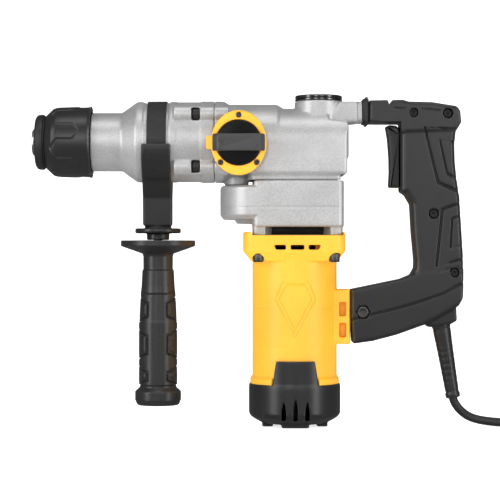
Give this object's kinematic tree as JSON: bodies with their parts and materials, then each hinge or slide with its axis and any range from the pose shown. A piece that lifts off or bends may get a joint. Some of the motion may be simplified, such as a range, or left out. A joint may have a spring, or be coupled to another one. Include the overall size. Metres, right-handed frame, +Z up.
{
  "type": "rotary demolition hammer",
  "caption": "Rotary demolition hammer with an upright motor, keyless chuck, mode selector, swivelling side handle, rear D-handle with trigger, and mains lead.",
  "frame": {"origin": "on the motor's axis at the underside of the end cap's centre foot", "axes": "+Z up the motor, -X from the motor to the chuck, -Y to the side with the mode selector"},
  "size_m": [0.5925, 0.1275, 0.2964],
  "materials": {
    "yellow_plastic": "moulded, satin",
    "black_plastic": "fine textured moulding",
    "black_rubber": "matt",
    "cast_aluminium": "fine cast, shot blasted",
    "bright_steel": "ground",
    "dark_steel": "blackened",
    "cap_steel": "polished dark",
    "lamination": "stacked sheet",
    "copper_winding": "lacquered copper",
    "carbon_block": "pressed carbon"
  },
  "bodies": {
    "machine": {"front_housing": "cast_aluminium", "gear_housing": "cast_aluminium", "selector_bezel": "yellow_plastic", "spindle_bearing": "bright_steel", "gear_case": "cast_aluminium", "motor_housing": "yellow_plastic", "motor_end_cap": "black_plastic", "stator": "lamination", "lower_bearing": "bright_steel", "upper_bearing": "bright_steel", "brush_left": "carbon_block", "brush_right": "carbon_block", "handle_left": "black_plastic", "handle_right": "black_plastic", "arm_bolt": "dark_steel", "switch_body": "black_plastic", "neck_ring": "black_rubber", "cord_boot": "black_rubber", "cord": "black_rubber", "cord_coil": "black_rubber", "plug": "black_rubber", "housing_bolt_1": "dark_steel", "motor_screw_1": "dark_steel", "handle_screw_1": "dark_steel", "housing_bolt_2": "dark_steel", "motor_screw_2": "dark_steel", "handle_screw_2": "dark_steel", "housing_bolt_3": "dark_steel", "motor_screw_3": "dark_steel", "handle_screw_3": "dark_steel", "housing_bolt_4": "dark_steel", "motor_screw_4": "dark_steel", "handle_screw_4": "dark_steel", "bezel_screw_1": "dark_steel", "bezel_screw_2": "dark_steel", "bezel_screw_3": "dark_steel"},
    "armature": {"motor_shaft": "bright_steel", "armature_core": "copper_winding", "commutator": "copper_winding", "cooling_fan": "black_plastic"},
    "crank": {"crank_gear": "bright_steel"},
    "bevel_drive": {"bevel_shaft": "bright_steel", "intermediate_gear": "bright_steel"},
    "spindle": {"tool_holder": "bright_steel", "nose_cap": "black_rubber", "chuck_spring": "bright_steel", "cylinder_tube": "bright_steel", "bevel_ring_gear": "bright_steel", "impact_bolt": "bright_steel"},
    "sleeve": {"chuck_sleeve": "black_plastic"},
    "piston": {"piston": "bright_steel"},
    "rod": {"connecting_rod": "bright_steel"},
    "striker": {"striker": "bright_steel"},
    "knob": {"selector_knob": "black_plastic"},
    "grease_cap": {"grease_cap": "cap_steel"},
    "trigger": {"trigger": "black_plastic"},
    "side_clamp": {"clamp_band": "bright_steel", "clamp_bracket": "black_plastic", "clamp_stud": "bright_steel"},
    "side_grip": {"side_grip": "black_plastic"}
  },
  "joints": [
    {"name": "motor_spin", "type": "hinge", "parent": "machine", "child": "armature", "pos_m": [0, 0, 0.09], "axis": [0, 0, 1], "continuous": true},
    {"name": "crank_spin", "type": "hinge", "parent": "machine", "child": "crank", "pos_m": [0.0216, 0, 0.21], "axis": [0, 0, 1], "continuous": true},
    {"name": "bevel_spin", "type": "hinge", "parent": "machine", "child": "bevel_drive", "pos_m": [-0.033, 0, 0.2], "axis": [0, 0, 1], "continuous": true},
    {"name": "spindle_spin", "type": "hinge", "parent": "machine", "child": "spindle", "pos_m": [-0.15, 0, 0.2547], "axis": [1, 0, 0], "continuous": true},
    {"name": "sleeve_pull", "type": "slide", "parent": "spindle", "child": "sleeve", "axis": [1, 0, 0], "range_m": [0, 0.008], "stiffness_N_per_m": 1200},
    {"name": "piston_stroke", "type": "slide", "parent": "machine", "child": "piston", "axis": [1, 0, 0], "range_m": [0, 0.022]},
    {"name": "rod_swing", "type": "hinge", "parent": "piston", "child": "rod", "pos_m": [-0.034, 0, 0.2547], "axis": [0, 0, 1], "range_deg": [-14.3, 14.3]},
    {"name": "striker_stroke", "type": "slide", "parent": "machine", "child": "striker", "axis": [1, 0, 0], "range_m": [-0.022, 0.01]},
    {"name": "selector_turn", "type": "hinge", "parent": "machine", "child": "knob", "pos_m": [-0.05, -0.045, 0.252], "axis": [0, -1, 0], "range_deg": [-90, 90]},
    {"name": "grease_cap_turn", "type": "hinge", "parent": "machine", "child": "grease_cap", "pos_m": [0.0216, 0, 0.293], "axis": [0, 0, 1], "continuous": true},
    {"name": "trigger_press", "type": "hinge", "parent": "machine", "child": "trigger", "pos_m": [0.0905, 0, 0.265], "axis": [0, -1, 0], "range_deg": [0, 7], "stiffness_Nm_per_rad": 1.2},
    {"name": "side_handle_swivel", "type": "hinge", "parent": "machine", "child": "side_clamp", "pos_m": [-0.1228, 0, 0.2547], "axis": [1, 0, 0], "continuous": true},
    {"name": "side_grip_turn", "type": "hinge", "parent": "side_clamp", "child": "side_grip", "pos_m": [-0.1228, 0, 0.1], "axis": [0, 0, 1], "continuous": true}
  ],
  "couplings": [
    {"joint": "crank_spin", "follows": "motor_spin", "ratio": -0.28571},
    {"joint": "bevel_spin", "follows": "motor_spin", "ratio": -0.17021},
    {"joint": "spindle_spin", "follows": "motor_spin", "ratio": 0.068085}
  ]
}
